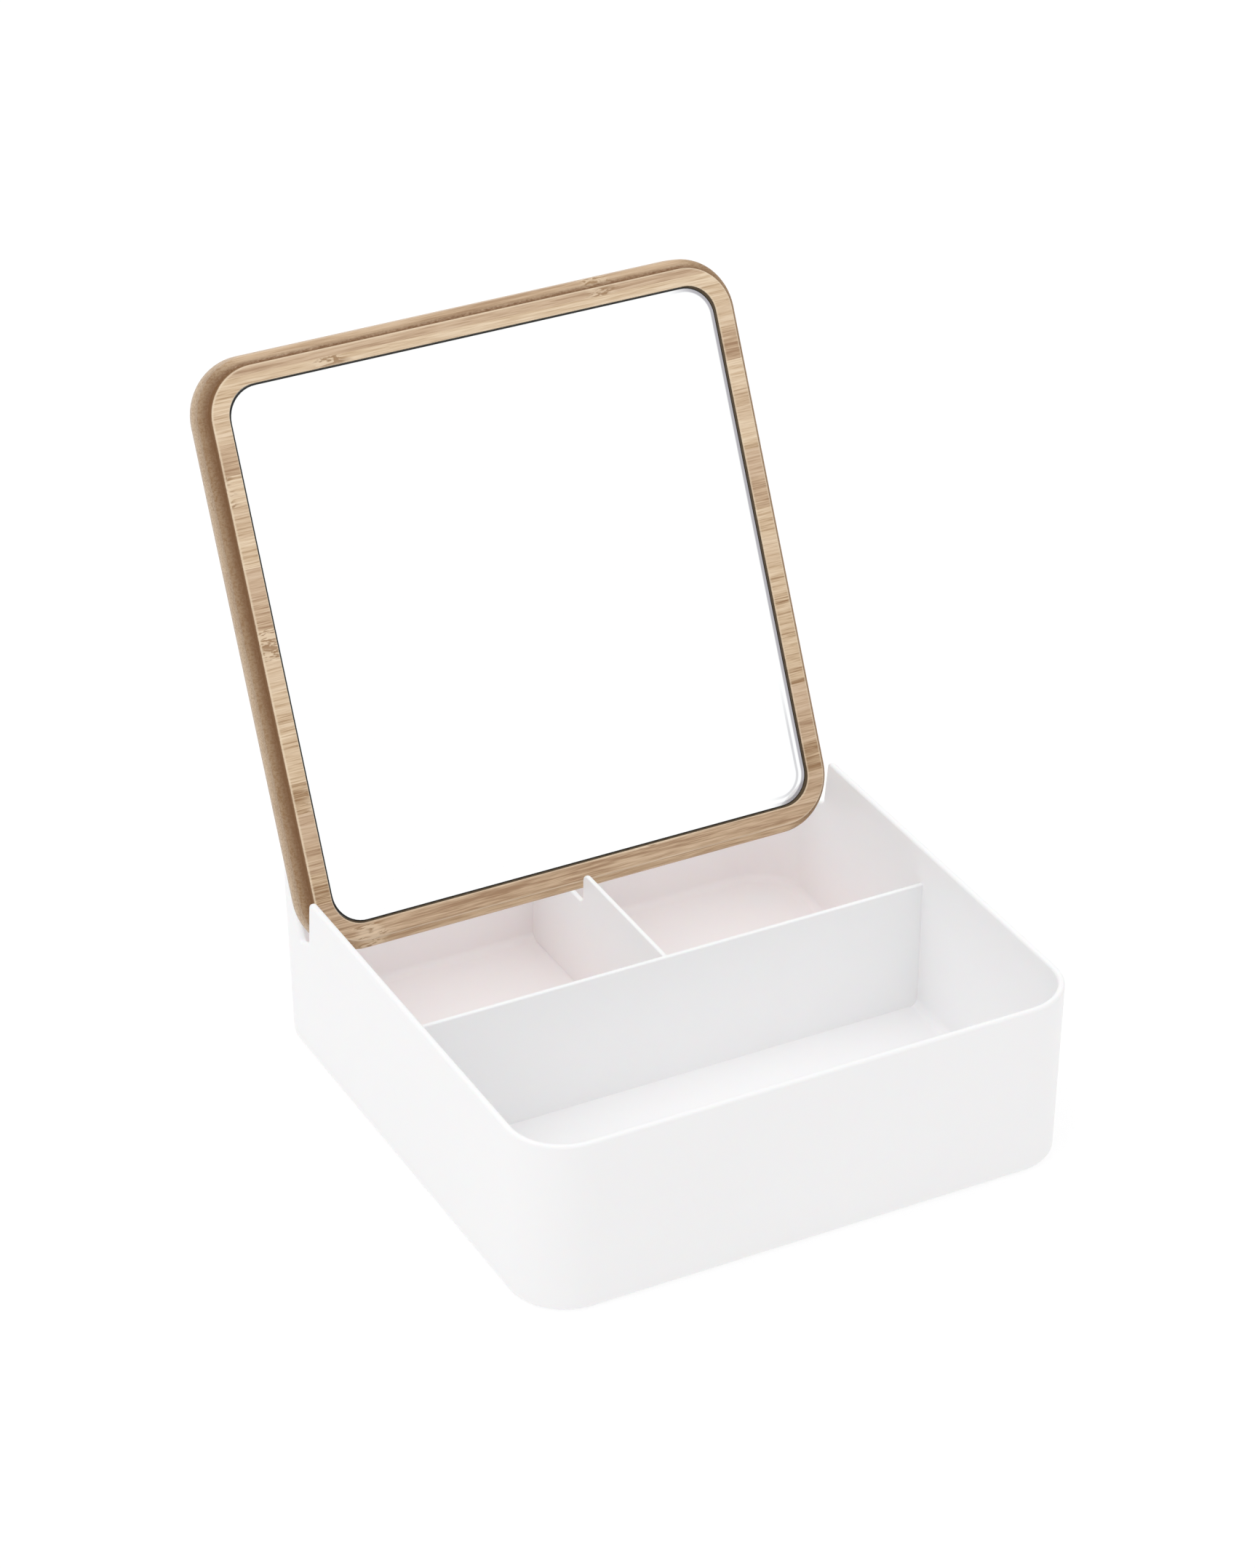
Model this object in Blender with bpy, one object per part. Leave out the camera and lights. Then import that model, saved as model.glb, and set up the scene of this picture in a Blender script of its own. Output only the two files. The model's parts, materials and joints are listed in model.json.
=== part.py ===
"""Desk-top make-up tray with a mirror lid that lifts off.

The tray is one plastic moulding: a full-width front compartment, and two rear
compartments parted by a centre wall. The lid is one routed bamboo board with a
mirror bonded into its underside. Here it stands on its edge, leaning back in a
slot in each side wall and a notch in the centre wall.

Units are metres, +Z is up, +X is to the right along the front, and the front
faces -Y. The origin is on the table, at the middle of the whole footprint.
"""

import math

import bmesh
import bpy
from mathutils import Vector

# Clearance kept between pieces that touch on the real object.
GAP = 0.0003

# Tray moulding.
TRAY_WIDTH = 0.200
TRAY_DEPTH = 0.202
TRAY_HEIGHT = 0.0642
CORNER_RADIUS = 0.020
WALL = 0.0024
DRAFT = 0.0011
FLOOR = 0.0027
BASE_EDGE = 0.0020
RIM_EDGE = 0.0010
FLOOR_FILLET = 0.0030

# Inner walls, which stand lower than the rim.
DIVIDER_TOP = 0.0017
DIVIDER_ROOT = 0.0024
DIVIDER_HEIGHT = 0.0510
CENTRE_WALL_HEIGHT = 0.0503
DIVIDER_EDGE = 0.0006
DIVIDER_FILLET = 0.0018

# Underside: two foot lands with a shallow relief between them.
RELIEF_WIDTH = 0.132
RELIEF_DEPTH = 0.0006
PAD_RADIUS = 0.0055
PAD_THICKNESS = 0.0012
PAD_PROUD = 0.0004
PAD_EDGE = 0.0003
PAD_INSET = 0.018

# Lid board: a flange as large as the tray, and a raised plug that fits inside it.
LID_LEAN = math.radians(25.2)
FLANGE = 0.0095
FLANGE_EDGE = 0.0015
PLUG_INSET = 0.0032
PLUG_HEIGHT = 0.0045
PLUG_EDGE = 0.0005
COVE = 0.0014
LID_FOOT_Y = 0.0628
LID_FOOT_Z = 0.0420

# Mirror and the tape that holds it, in a pocket in the plug's face.
POCKET_INSET = 0.0093
POCKET_RADIUS = 0.0115
POCKET_CHAMFER = 0.0003
MIRROR_RECESS = 0.0012
MIRROR_THICKNESS = 0.0020
MIRROR_EDGE = 0.0004
TAPE_THICKNESS = 0.0008
TAPE_WIDTH = 0.018
TAPE_LENGTH = 0.150
TAPE_CORNER = 0.0010
TAPE_COUNT = 4

# Slots in the side walls and the notch in the centre wall.
SLOT_FOOT_Y = 0.0676
SLOT_FOOT_Z = 0.0468
SLOT_MOUTH_Y = 0.0655
SLOT_TIP = 0.0018
SLOT_CORNER = 0.0010
NOTCH_FRONT_Y = 0.0597
NOTCH_TIP = 0.0028
LEAN_GAP = 0.0003

# Tray places are measured from the middle of the tray. The lid's upper edge
# reaches further back, so the middle of the whole object lies behind it.
LID_REACH = LID_FOOT_Y + TRAY_DEPTH * math.sin(LID_LEAN) + FLANGE * math.cos(LID_LEAN)
LID_BACK_ROUNDING = FLANGE_EDGE * (math.sin(LID_LEAN) + math.cos(LID_LEAN) - 1)
MIDDLE_Y = (LID_REACH - LID_BACK_ROUNDING - TRAY_DEPTH / 2) / 2

# How far a cutter reaches past the surface that it cuts, and how far a foot sinks in.
CUT_PAST = 0.010
SINK = 0.0001


def clear_scene():
    for item in list(bpy.data.objects):
        bpy.data.objects.remove(item, do_unlink=True)


def material(name, colour, roughness, metallic=0.0):
    made = bpy.data.materials.new(name)
    made.use_nodes = True
    shader = made.node_tree.nodes["Principled BSDF"]
    shader.inputs["Base Color"].default_value = (*colour, 1.0)
    shader.inputs["Roughness"].default_value = roughness
    shader.inputs["Metallic"].default_value = metallic
    made.diffuse_color = (*colour, 1.0)
    return made


def rounded(corners, radii, steps):
    """The outline through the corners, with each corner turned into an arc."""
    outline = []
    for index, radius in enumerate(radii):
        corner = Vector(corners[index])
        before = (Vector(corners[index - 1]) - corner).normalized()
        after = (Vector(corners[(index + 1) % len(corners)]) - corner).normalized()
        if radius == 0:
            outline.append(corner)
            continue
        half = before.angle(after) / 2
        centre = corner + (before + after).normalized() * radius / math.sin(half)
        start = corner + before * radius / math.tan(half) - centre
        end = corner + after * radius / math.tan(half) - centre
        first = math.atan2(start.y, start.x)
        turn = math.remainder(math.atan2(end.y, end.x) - first, 2 * math.pi)
        for step in range(steps + 1):
            angle = first + turn * step / steps
            outline.append(centre + radius * Vector((math.cos(angle), math.sin(angle))))
    return outline


def rounded_rectangle(width, depth, radius, steps=9):
    x, y = width / 2, depth / 2
    return rounded([(-x, -y), (x, -y), (x, y), (-x, y)], [radius] * 4, steps)


def new_object(name, mesh, finish, parent=None):
    made = bpy.data.objects.new(name, mesh)
    bpy.context.scene.collection.objects.link(made)
    made.parent = parent
    if finish:
        mesh.materials.append(finish)
    return made


def finish_mesh(name, shape, smooth_angle=math.radians(35)):
    bmesh.ops.recalc_face_normals(shape, faces=shape.faces)
    mesh = bpy.data.meshes.new(name)
    shape.to_mesh(mesh)
    shape.free()
    mesh.shade_smooth()
    mesh.set_sharp_from_angle(angle=smooth_angle)
    return mesh


def loft(name, rings):
    """A closed body through rings of points that all hold the same number."""
    shape = bmesh.new()
    loops = []
    for ring in rings:
        corners = [shape.verts.new(point) for point in ring]
        edges = [shape.edges.new(pair) for pair in zip(corners, corners[1:] + corners[:1])]
        loops.append(edges)
    for lower, upper in zip(loops, loops[1:]):
        bmesh.ops.bridge_loops(shape, edges=lower + upper)
    for end in (loops[0], loops[-1]):
        bmesh.ops.contextual_create(shape, geom=end)
    return finish_mesh(name, shape)


def extrusion(name, outline, low, high):
    """An outline in the YZ plane, carried along X from low to high."""
    rings = [[(x, y, z) for y, z in outline] for x in (low, high)]
    return loft(name, rings)


def helper(name, mesh):
    """A cutter or a union's second body, which isn't a piece of its own."""
    made = new_object(name, mesh, None)
    made.hide_render = True
    made.display_type = "WIRE"
    return made


def combine(target, operation, other):
    step = target.modifiers.new(other.name, "BOOLEAN")
    step.operation = operation
    step.solver = "EXACT"
    step.object = other


def tray_ring(inset, z):
    outline = rounded_rectangle(
        TRAY_WIDTH - 2 * inset, TRAY_DEPTH - 2 * inset, CORNER_RADIUS - inset
    )
    return [(x, y - MIDDLE_Y, z + PAD_PROUD) for x, y in outline]


def draft_at(z):
    return DRAFT * (1 - z / TRAY_HEIGHT)


def outer_profile():
    """Inset and height of the tray's outside, from the base up to the rim."""
    profile = []
    for angle in (0, 30, 60, 90):
        turn = math.radians(angle)
        inset = draft_at(0) + BASE_EDGE * (1 - math.sin(turn))
        profile.append((inset, BASE_EDGE * (1 - math.cos(turn))))
    for angle in (0, 45, 90):
        turn = math.radians(angle)
        height = TRAY_HEIGHT - RIM_EDGE * (1 - math.sin(turn))
        profile.append((RIM_EDGE * (1 - math.cos(turn)), height))
    return profile


def cavity_profile():
    """Inset and height of the tray's inside, from the floor to above the rim."""
    profile = []
    for angle in (0, 30, 60, 90):
        turn = math.radians(angle)
        inset = WALL + draft_at(FLOOR) + FLOOR_FILLET * (1 - math.sin(turn))
        profile.append((inset, FLOOR + FLOOR_FILLET * (1 - math.cos(turn))))
    for angle in (0, 45, 90):
        turn = math.radians(angle)
        height = TRAY_HEIGHT - RIM_EDGE * (1 - math.sin(turn))
        profile.append((WALL - RIM_EDGE * (1 - math.cos(turn)), height))
    profile.append((WALL - RIM_EDGE, TRAY_HEIGHT + CUT_PAST))
    return profile


def placed(outline):
    """A tray outline in the YZ plane, moved to its place in the world."""
    return [(y - MIDDLE_Y, z + PAD_PROUD) for y, z in outline]


def lid_lowest():
    """Height of the lid's lowest line: the rounded lower edge of its back."""
    centre = FLANGE_EDGE * math.cos(LID_LEAN) - (FLANGE - FLANGE_EDGE) * math.sin(LID_LEAN)
    return LID_FOOT_Z + centre - FLANGE_EDGE


def behind_lid_y(z):
    """The line that the lid leans on, a small gap behind its back."""
    thickness = (FLANGE + LEAN_GAP) / math.cos(LID_LEAN)
    return LID_FOOT_Y + (z - LID_FOOT_Z) * math.tan(LID_LEAN) + thickness


def slot_outline():
    """A slot with its foot square to the lid, its rear along the lid's back, and a wide mouth."""
    slope = math.tan(LID_LEAN)
    foot_run = (behind_lid_y(SLOT_FOOT_Z) - SLOT_FOOT_Y) / (1 + slope * slope)
    top = TRAY_HEIGHT + CUT_PAST
    mouth_rear_y = behind_lid_y(TRAY_HEIGHT)
    corners = [
        (SLOT_FOOT_Y, SLOT_FOOT_Z),
        (SLOT_FOOT_Y + foot_run, SLOT_FOOT_Z - foot_run * slope),
        (mouth_rear_y, TRAY_HEIGHT),
        (mouth_rear_y + CUT_PAST, TRAY_HEIGHT),
        (mouth_rear_y + CUT_PAST, top),
        (SLOT_MOUTH_Y - CUT_PAST, top),
        (SLOT_MOUTH_Y - CUT_PAST, TRAY_HEIGHT),
        (SLOT_MOUTH_Y, TRAY_HEIGHT),
    ]
    radii = [SLOT_CORNER, SLOT_CORNER, SLOT_TIP, 0, 0, 0, 0, SLOT_TIP]
    return placed(rounded(corners, radii, 5))


def centre_wall_outline():
    """Side view of the centre wall, with the notch that the lid stands in."""
    rest = lid_lowest() - GAP
    top = CENTRE_WALL_HEIGHT
    rear_end = TRAY_DEPTH / 2 - WALL / 2 - DRAFT / 2
    corners = [
        (0, FLOOR / 2),
        (rear_end, FLOOR / 2),
        (rear_end, top),
        (behind_lid_y(top), top),
        (behind_lid_y(rest), rest),
        (NOTCH_FRONT_Y, rest),
        (NOTCH_FRONT_Y, top),
        (0, top),
    ]
    radii = [0, 0, 0, NOTCH_TIP / 2, SLOT_CORNER, NOTCH_TIP, NOTCH_TIP, 0]
    return placed(rounded(corners, radii, 5))


def divider_half(z):
    """Half the thickness of an inner wall, which is thinner at its top."""
    share = (z - FLOOR) / (DIVIDER_HEIGHT - FLOOR)
    return (DIVIDER_ROOT + (DIVIDER_TOP - DIVIDER_ROOT) * share) / 2


def cross_wall_outline():
    """Section of the cross wall, with a fillet at its foot on each side."""
    sunk = FLOOR - SINK
    top = divider_half(DIVIDER_HEIGHT)
    root = divider_half(sunk)
    foot = root + DIVIDER_FILLET + SINK
    corners = [
        (-foot, FLOOR / 2),
        (foot, FLOOR / 2),
        (foot, sunk),
        (root, sunk),
        (top, DIVIDER_HEIGHT),
        (-top, DIVIDER_HEIGHT),
        (-root, sunk),
        (-foot, sunk),
    ]
    radii = [0, 0, 0, DIVIDER_FILLET, DIVIDER_EDGE, DIVIDER_EDGE, DIVIDER_FILLET, 0]
    return placed(rounded(corners, radii, 4))


def make_tray(finish):
    tray = new_object("tray", loft("tray", [tray_ring(*at) for at in outer_profile()]), finish)
    cavity = helper("cavity_cutter", loft("cavity", [tray_ring(*at) for at in cavity_profile()]))
    combine(tray, "DIFFERENCE", cavity)
    beyond = TRAY_WIDTH / 2 + CUT_PAST
    slots = helper("slot_cutter", extrusion("slots", slot_outline(), -beyond, beyond))
    combine(tray, "DIFFERENCE", slots)
    end = TRAY_WIDTH / 2 - WALL / 2 - DRAFT / 2
    cross_wall = helper("cross_wall", extrusion("cross_wall", cross_wall_outline(), -end, end))
    combine(tray, "UNION", cross_wall)
    sides = []
    for side in (-1, 1):
        outline = centre_wall_outline()
        sides.append([(side * divider_half(z - PAD_PROUD), y, z) for y, z in outline])
    centre_wall = helper("centre_wall", loft("centre_wall", sides))
    combine(tray, "UNION", centre_wall)
    relief_rings = []
    for z in (-CUT_PAST, RELIEF_DEPTH):
        outline = rounded_rectangle(RELIEF_WIDTH, TRAY_DEPTH + CUT_PAST, 0)
        relief_rings.append([(x, y - MIDDLE_Y, z + PAD_PROUD) for x, y in outline])
    relief = helper("relief_cutter", loft("relief", relief_rings))
    combine(tray, "DIFFERENCE", relief)
    for number, (x, y) in enumerate(pad_places(), 1):
        depth = PAD_THICKNESS + GAP
        seat = helper(f"pad_seat_cutter_{number}", disc("pad_seat", PAD_RADIUS + GAP, -CUT_PAST, depth))
        seat.location = (x, y, 0)
        combine(tray, "DIFFERENCE", seat)
    return tray


def pad_places():
    x = TRAY_WIDTH / 2 - PAD_INSET
    y = TRAY_DEPTH / 2 - PAD_INSET
    return [(sx * x, sy * y - MIDDLE_Y) for sy in (-1, 1) for sx in (-1, 1)]


def disc(name, radius, low, high, edge=0.0):
    """A round disc with a small rounding on its lower rim."""
    profile = [(radius - edge, low), (radius, low + edge), (radius, high)]
    if edge == 0:
        profile = [(radius, low), (radius, high)]
    rings = []
    for reach, z in profile:
        turns = [2 * math.pi * step / 32 for step in range(32)]
        rings.append([(reach * math.cos(turn), reach * math.sin(turn), z) for turn in turns])
    return loft(name, rings)


def make_pads(finish):
    names = ("front_left", "front_right", "rear_left", "rear_right")
    for name, (x, y) in zip(names, pad_places()):
        mesh = disc(f"foot_pad_{name}", PAD_RADIUS, 0, PAD_THICKNESS, edge=PAD_EDGE)
        pad = new_object(f"foot_pad_{name}", mesh, finish)
        pad.location = (x, y, 0)


def lid_ring(inset, depth, radius=None):
    """A ring round the lid. Depth runs from the flange's front face to the back."""
    if radius is None:
        radius = CORNER_RADIUS - inset
    outline = rounded_rectangle(TRAY_WIDTH - 2 * inset, TRAY_DEPTH - 2 * inset, radius)
    return [(x, depth, z + TRAY_DEPTH / 2) for x, z in outline]


def pocket_depth():
    return MIRROR_RECESS + MIRROR_THICKNESS + TAPE_THICKNESS + 2 * GAP


def lid_rings():
    """Rings from the middle of the back, round the flange, to the pocket's floor."""
    rings = []
    for angle in (0, 30, 60, 90):
        turn = math.radians(angle)
        inset = FLANGE_EDGE * (1 - math.sin(turn))
        rings.append(lid_ring(inset, FLANGE - FLANGE_EDGE * (1 - math.cos(turn))))
    for angle in (0, 45, 90):
        turn = math.radians(angle)
        inset = FLANGE_EDGE * (1 - math.cos(turn))
        rings.append(lid_ring(inset, FLANGE_EDGE * (1 - math.sin(turn))))
    for angle in (0, 45, 90):
        turn = math.radians(angle)
        inset = PLUG_INSET - COVE * (1 - math.sin(turn))
        rings.append(lid_ring(inset, -COVE * (1 - math.cos(turn))))
    for angle in (0, 90):
        turn = math.radians(angle)
        inset = PLUG_INSET + PLUG_EDGE * (1 - math.cos(turn))
        rings.append(lid_ring(inset, -PLUG_HEIGHT + PLUG_EDGE * (1 - math.sin(turn))))
    face = -PLUG_HEIGHT
    rings.append(lid_ring(POCKET_INSET - POCKET_CHAMFER, face, POCKET_RADIUS + POCKET_CHAMFER))
    rings.append(lid_ring(POCKET_INSET, face + POCKET_CHAMFER, POCKET_RADIUS))
    rings.append(lid_ring(POCKET_INSET, face + pocket_depth(), POCKET_RADIUS))
    return rings


def make_lid(wood, glass, tape_finish):
    """The lid's pieces, on an empty at the foot of the lid that leans back."""
    axis = bpy.data.objects.new("lid_lift_axis", None)
    bpy.context.scene.collection.objects.link(axis)
    axis.location = (0, LID_FOOT_Y - MIDDLE_Y, LID_FOOT_Z + PAD_PROUD)
    axis.rotation_euler = (-LID_LEAN, 0, 0)

    new_object("lid_board", loft("lid_board", lid_rings()), wood, axis)

    front = -PLUG_HEIGHT + MIRROR_RECESS
    inset = POCKET_INSET + GAP
    radius = POCKET_RADIUS - GAP
    mirror_rings = [
        lid_ring(inset + MIRROR_EDGE, front, radius - MIRROR_EDGE),
        lid_ring(inset, front + MIRROR_EDGE, radius),
        lid_ring(inset, front + MIRROR_THICKNESS, radius),
    ]
    new_object("mirror_glass", loft("mirror_glass", mirror_rings), glass, axis)

    behind = front + MIRROR_THICKNESS + GAP
    spacing = (TRAY_WIDTH - 2 * POCKET_INSET) / TAPE_COUNT
    for number in range(TAPE_COUNT):
        centre = (number - (TAPE_COUNT - 1) / 2) * spacing
        outline = rounded_rectangle(TAPE_WIDTH, TAPE_LENGTH, TAPE_CORNER, 2)
        rings = []
        for depth in (behind, behind + TAPE_THICKNESS):
            rings.append([(x + centre, depth, z + TRAY_DEPTH / 2) for x, z in outline])
        name = f"mirror_tape_{number + 1}"
        new_object(name, loft(name, rings), tape_finish, axis)


def main():
    clear_scene()
    white_plastic = material("white_plastic", (0.88, 0.88, 0.88), 0.38)
    bamboo = material("bamboo", (0.62, 0.43, 0.25), 0.5)
    mirror = material("mirror", (0.93, 0.94, 0.94), 0.03, 1.0)
    foam_tape = material("foam_tape", (0.75, 0.75, 0.72), 0.8)
    pad_rubber = material("pad_rubber", (0.78, 0.79, 0.8), 0.55)
    make_tray(white_plastic)
    make_pads(pad_rubber)
    make_lid(bamboo, mirror, foam_tape)


main()
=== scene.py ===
"""Make-up tray with a mirror lid: finer pieces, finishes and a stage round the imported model.

The tray moulding, the lid board and the mirror are built here in their fine shapes,
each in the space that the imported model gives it. The foot pads and the tapes keep
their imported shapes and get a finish. Lengths are metres, and +Z is up.
"""

import json
import math

import bmesh
import bpy
from bpy.props import FloatProperty, FloatVectorProperty, PointerProperty
from bpy.types import Operator, Panel, PropertyGroup
from mathutils import Matrix, Vector


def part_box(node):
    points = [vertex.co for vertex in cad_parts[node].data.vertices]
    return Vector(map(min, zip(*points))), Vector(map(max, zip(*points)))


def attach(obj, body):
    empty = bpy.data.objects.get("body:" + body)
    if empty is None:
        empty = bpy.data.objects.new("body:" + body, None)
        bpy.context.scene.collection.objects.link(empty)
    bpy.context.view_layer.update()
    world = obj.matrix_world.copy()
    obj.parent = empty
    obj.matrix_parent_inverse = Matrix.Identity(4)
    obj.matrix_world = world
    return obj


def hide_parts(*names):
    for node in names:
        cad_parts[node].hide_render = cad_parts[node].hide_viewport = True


bl_info = {
    "name": "Make-up tray with mirror lid",
    "version": (1, 0, 0),
    "blender": (4, 5, 0),
    "location": "3D View > Sidebar > Make-up tray",
    "description": "Builds the tray, its bamboo lid and mirror, their finishes and a stage",
    "category": "Object",
}

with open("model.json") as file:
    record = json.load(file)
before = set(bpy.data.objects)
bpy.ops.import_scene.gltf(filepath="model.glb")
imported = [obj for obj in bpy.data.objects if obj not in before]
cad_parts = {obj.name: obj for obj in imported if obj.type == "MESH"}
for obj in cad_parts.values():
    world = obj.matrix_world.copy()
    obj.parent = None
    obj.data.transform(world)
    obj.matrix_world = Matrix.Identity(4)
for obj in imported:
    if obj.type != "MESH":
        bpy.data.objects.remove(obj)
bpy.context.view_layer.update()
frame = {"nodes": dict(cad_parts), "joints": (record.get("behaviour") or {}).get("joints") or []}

# The tray is modelled round its own middle, standing on z = 0, and then put in place.
TRAY_LOW, TRAY_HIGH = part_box("tray")
TRAY_SIZE = TRAY_HIGH - TRAY_LOW
TRAY_PLACE = Vector((0, (TRAY_LOW.y + TRAY_HIGH.y) / 2, TRAY_LOW.z))

# The lid slides along its own length, so its joint gives the lean. UPRIGHT turns the
# leaning lid to stand straight up with its mirror facing -Y.
LIFT = Vector(frame["joints"][0]["axis"])
LEAN = math.atan2(LIFT.y, LIFT.z)
UPRIGHT = Matrix.Rotation(LEAN, 4, "X")


def upright_box(node):
    """The lowest and highest corners of a lid node once the lid stands straight up."""
    corners = [UPRIGHT @ point.co for point in frame["nodes"][node].data.vertices]
    return Vector(map(min, zip(*corners))), Vector(map(max, zip(*corners)))


BOARD_LOW, BOARD_HIGH = upright_box("lid_board")
GLASS_LOW, GLASS_HIGH = upright_box("mirror_glass")


# Sizes and colours


def length(name, description, default):
    return FloatProperty(name=name, description=description, default=default, precision=4, unit="LENGTH")


def colour(name, description, default):
    return FloatVectorProperty(
        name=name, description=description, default=default, subtype="COLOR", min=0, max=1
    )


def share(name, description, default):
    return FloatProperty(name=name, description=description, default=default, subtype="FACTOR", min=0, max=1)


def strength(name, description, default):
    return FloatProperty(name=name, description=description, default=default, min=0)


def power(name, description, default):
    return FloatProperty(name=name, description=description, default=default, unit="POWER", min=0)


def angle(name, description, degrees):
    return FloatProperty(
        name=name, description=description, default=math.radians(degrees), subtype="ANGLE", unit="ROTATION"
    )


class TraySettings(PropertyGroup):
    """Sizes and colour of the plastic tray. Places along Y are from the tray's middle."""

    wall: length("Wall", "Thickness of the outer wall at the rim", 0.0024)
    draft: length("Draft", "How much narrower each side is at the base than at the rim", 0.0011)
    corner: length("Corner", "Radius of the tray's four corners", 0.020)
    floor: length("Floor", "Thickness of the floor", 0.0027)
    base_rounding: length("Base rounding", "Rounding along the outer bottom edge", 0.0020)
    rim_rounding: length("Rim rounding", "Rounding along both edges of the rim and round the slots", 0.0010)
    floor_fillet: length("Floor fillet", "Fillet between the floor and the outer walls", 0.0030)
    inner_top: length("Inner wall top", "Thickness of the inner walls at their top", 0.0017)
    inner_root: length("Inner wall root", "Thickness of the inner walls at the floor", 0.0024)
    inner_rounding: length("Inner wall rounding", "Rounding along the top of the inner walls", 0.0006)
    inner_fillet: length("Inner wall fillet", "Fillet where an inner wall meets the tray", 0.0016)
    cross_height: length("Cross wall height", "Top of the wall that parts front from rear", 0.0510)
    centre_height: length("Centre wall height", "Top of the wall that parts the rear compartments", 0.0503)
    slot_foot_y: length("Slot foot, Y", "Front of the side slot at its foot", 0.0676)
    slot_foot_z: length("Slot foot, Z", "Height of the side slot's foot at its front", 0.0468)
    slot_mouth_y: length("Slot mouth, Y", "Front of the side slot at the rim", 0.0655)
    slot_tip: length("Slot tip", "Rounding of the side slot's mouth", 0.0018)
    slot_corner: length("Slot corner", "Rounding inside the slots", 0.0010)
    notch_front_y: length("Notch, Y", "Front of the notch in the centre wall", 0.0597)
    notch_tip: length("Notch tip", "Rounding of the notch's front edge", 0.0028)
    lean_gap: length("Lean gap", "Gap between the lid's back and the slots", 0.0003)
    rest_gap: length("Rest gap", "Gap under the lid in the notch", 0.0003)
    relief_width: length("Relief width", "Width of the raised middle of the underside", 0.132)
    relief_depth: length("Relief depth", "How far the underside's middle is raised", 0.0006)
    pad_radius: length("Pad seat radius", "Radius of the seats for the foot pads", 0.0058)
    pad_depth: length("Pad seat depth", "Depth of the seats for the foot pads", 0.0011)
    tint: colour("Plastic", "Colour of the moulded plastic", (0.955, 0.955, 0.96))
    # Painted light: the warm light that the bamboo lid bounces onto the plastic behind the cross wall.
    warm_bounce_tint: colour(
        "Sheltered plastic", "Warmer tone of the plastic behind the cross wall", (0.955, 0.905, 0.90)
    )
    gloss: share("Plastic roughness", "Roughness of the moulded plastic", 0.36)


class LidSettings(PropertyGroup):
    """Sizes and colours of the bamboo lid board. Insets are from the board's outline."""

    corner: length("Corner", "Radius of the board's four corners", 0.020)
    flange: length("Flange", "Thickness of the board outside the plug", 0.0095)
    flange_rounding: length("Flange rounding", "Rounding of the flange's edges", 0.0015)
    plug_inset: length("Plug inset", "Width of the step round the plug", 0.0032)
    plug_rounding: length("Plug rounding", "Rounding of the plug's outer edge", 0.0005)
    cove: length("Cove", "Radius of the cove at the foot of the step", 0.0014)
    pocket_inset: length("Pocket inset", "Distance from the outline to the mirror's pocket", 0.0093)
    pocket_rounding: length("Pocket rounding", "Rounding of the pocket's edge", 0.0003)
    strip: length("Strip", "Height of the glued bamboo strips", 0.0104)
    light: colour("Light bamboo", "Palest colour of the grain", (0.88, 0.705, 0.51))
    middle: colour("Bamboo", "Main colour of the grain", (0.685, 0.50, 0.32))
    dark: colour("Dark bamboo", "Darkest colour of the grain", (0.33, 0.185, 0.085))
    blush: colour("Bamboo blush", "Pinkish tone of some strips", (0.57, 0.39, 0.275))
    # The cove colour stands for the cutter's burn together with painted shade of the step round the plug.
    cove_burn_and_shade_tint: colour("Cove", "Colour that the cutter leaves in the cove", (0.19, 0.09, 0.032))
    # The lid's edge colour is a painted highlight along the plug's and the pocket's arris, with the paler
    # wood of a sanded edge.
    edge_tint: colour("Bare edge", "Colour of the wood where an edge is sanded", (0.86, 0.71, 0.52))
    end_tint: colour("End grain", "Colour of the end grain round the flange", (0.55, 0.385, 0.20))
    # Painted sheen and shade: the greyish, darker rear edge of the flange.
    back_sheen_and_shade_tint: colour("Back edge", "Greyish tone of the flange's rear edge", (0.50, 0.42, 0.36))
    # Painted shade: the dark wood inside the mirror's pocket.
    pocket_shade_tint: colour("Pocket wall", "Colour of the wood inside the pocket", (0.11, 0.075, 0.04))
    # How far the cove colour spreads: the cutter's burn together with painted shade.
    cove_burn_and_shade_reach: length("Burn reach", "How far the cutter's dark mark spreads from the cove", 0.0020)
    # Darker sides beside the plug: the cutter's burn together with painted shade that the plug casts on the
    # flange.
    side_burn_and_shade_reach: length("Toast reach", "How far from the cove the side's end grain is darker", 0.0104)
    side_burn_and_shade_strength: share("Toast", "Strength of the darker end grain", 0.8)
    gloss: share("Bamboo roughness", "Roughness of the clear coat", 0.45)


class MirrorSettings(PropertyGroup):
    """Sizes and colours of the mirror."""

    corner: length("Corner", "Radius of the pane's four corners", 0.0112)
    gleam: length("Gleam", "Width of the pale band along the pane's right side", 0.0017)
    glass_edge: length("Edge", "Width of the pane's front arris", 0.0005)
    silver_tint: colour("Silver", "Colour of the silvering", (0.95, 0.96, 0.96))
    # The pale band and the arcs are a painted reflection of the ground edge seen through the glass.
    gleam_tint: colour("Gleam colour", "Colour of the pale band", (0.45, 0.44, 0.47))
    edge_tint: colour("Ground edge", "Colour of the pane's ground edge", (0.20, 0.21, 0.21))
    # Painted shade: the black arris stands for the dark gap and the mirrored pocket wall round the pane.
    arris_shade_tint: colour("Arris", "Colour of the pane's front arris", (0.012, 0.012, 0.012))


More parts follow.
